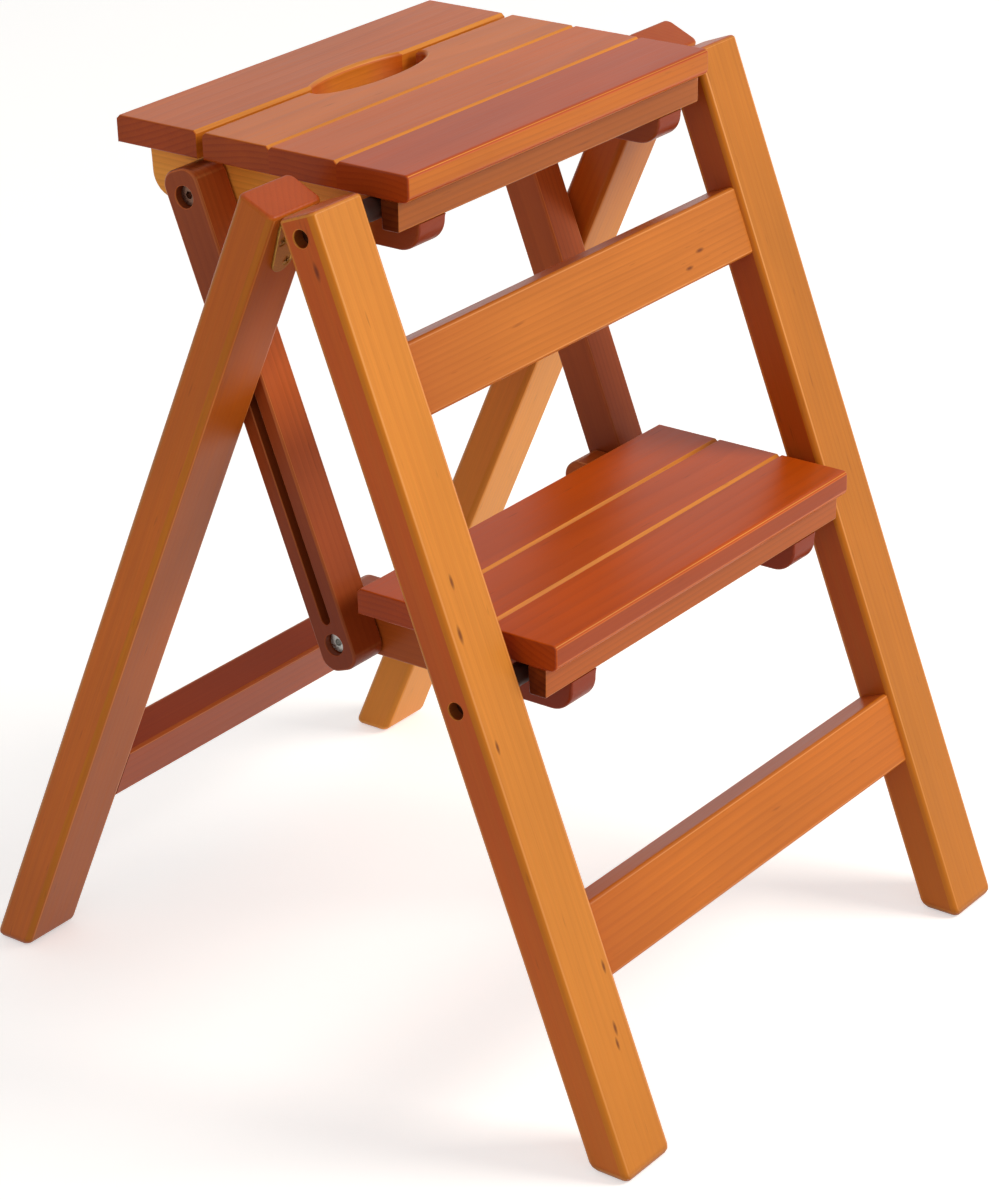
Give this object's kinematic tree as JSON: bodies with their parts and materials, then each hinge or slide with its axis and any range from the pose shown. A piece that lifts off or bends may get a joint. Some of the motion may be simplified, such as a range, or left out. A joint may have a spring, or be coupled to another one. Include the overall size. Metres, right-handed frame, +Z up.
{
  "type": "folding step stool",
  "caption": "Folding wooden step stool: slatted seat with hand hole over one step, leaning front frame, hinged rear frame, slotted side links, lacquered orange-brown wood",
  "frame": {"origin": "on the floor, under the middle of the open stool's bounding box", "axes": "+Z up, -Y the front that a person climbs, +X the right side seen from the front; the left and right halves mirror each other over the plane X = 0"},
  "size_m": [0.372, 0.452, 0.5],
  "materials": {
    "frame_wood": "orange-brown stain under semi-gloss clear lacquer",
    "tread_wood": "red-brown stain under semi-gloss clear lacquer",
    "batten_wood": "orange-brown stain under semi-gloss clear lacquer",
    "link_wood": "red-brown stain under semi-gloss clear lacquer",
    "hinge_brass": "dull aged brass plating on pressed steel leaves",
    "spacer_nylon": "dark brown moulded nylon",
    "bolt_steel": "zinc-plated steel"
  },
  "bodies": {
    "front_frame": {"front_leg_left": "frame_wood", "front_leg_right": "frame_wood", "front_rail_upper": "frame_wood", "front_rail_lower": "frame_wood", "hinge_leaf_front_left": "hinge_brass", "hinge_leaf_front_right": "hinge_brass", "hinge_pins": "hinge_brass", "hinge_screws_front": "hinge_brass", "pivot_bolts": "bolt_steel", "pivot_spacers": "spacer_nylon", "pivot_nuts": "bolt_steel"},
    "rear_frame": {"rear_leg_left": "frame_wood", "rear_leg_right": "frame_wood", "rear_rail": "frame_wood", "hinge_leaf_rear_left": "hinge_brass", "hinge_leaf_rear_right": "hinge_brass", "hinge_screws_rear": "hinge_brass", "guide_pins": "bolt_steel"},
    "seat": {"seat_slat_rear": "tread_wood", "seat_slat_middle_rear": "tread_wood", "seat_slat_middle_front": "tread_wood", "seat_slat_front": "tread_wood", "seat_front_strip": "tread_wood", "seat_batten_left": "batten_wood", "seat_batten_right": "batten_wood", "seat_slat_screws": "bolt_steel"},
    "step": {"step_slat_rear": "tread_wood", "step_slat_middle": "tread_wood", "step_slat_front": "tread_wood", "step_front_strip": "tread_wood", "step_batten_left": "batten_wood", "step_batten_right": "batten_wood", "step_slat_screws": "bolt_steel"},
    "link_left": {"link_left": "link_wood", "link_bolts_left": "bolt_steel", "link_washers_left": "bolt_steel", "link_nuts_left": "bolt_steel"},
    "link_right": {"link_right": "link_wood", "link_bolts_right": "bolt_steel", "link_washers_right": "bolt_steel", "link_nuts_right": "bolt_steel"}
  },
  "joints": [
    {"name": "seat_fold", "type": "hinge", "parent": "front_frame", "child": "seat", "pos_m": [0, -0.0378, 0.47855], "axis": [1, 0, 0], "range_deg": [0, 61.63]},
    {"name": "step_fold", "type": "hinge", "parent": "front_frame", "child": "step", "pos_m": [0, -0.12388, 0.24522], "axis": [1, 0, 0], "range_deg": [0, 61.63]},
    {"name": "link_left_swing", "type": "hinge", "parent": "seat", "child": "link_left", "pos_m": [-0.129, 0.0792, 0.46655], "axis": [1, 0, 0], "range_deg": [-61.63, 0]},
    {"name": "link_right_swing", "type": "hinge", "parent": "seat", "child": "link_right", "pos_m": [0.129, 0.0792, 0.46655], "axis": [1, 0, 0], "range_deg": [-61.63, 0]},
    {"name": "rear_frame_fold", "type": "hinge", "parent": "front_frame", "child": "rear_frame", "pos_m": [0, -0.02126, 0.48236], "axis": [1, 0, 0], "range_deg": [-44.75, 0]}
  ],
  "couplings": [
    {"joint": "step_fold", "follows": "seat_fold", "ratio": 1},
    {"joint": "link_left_swing", "follows": "seat_fold", "ratio": -1},
    {"joint": "link_right_swing", "follows": "seat_fold", "ratio": -1},
    {"joint": "rear_frame_fold", "follows": "seat_fold", "ratio": -0.72607}
  ]
}
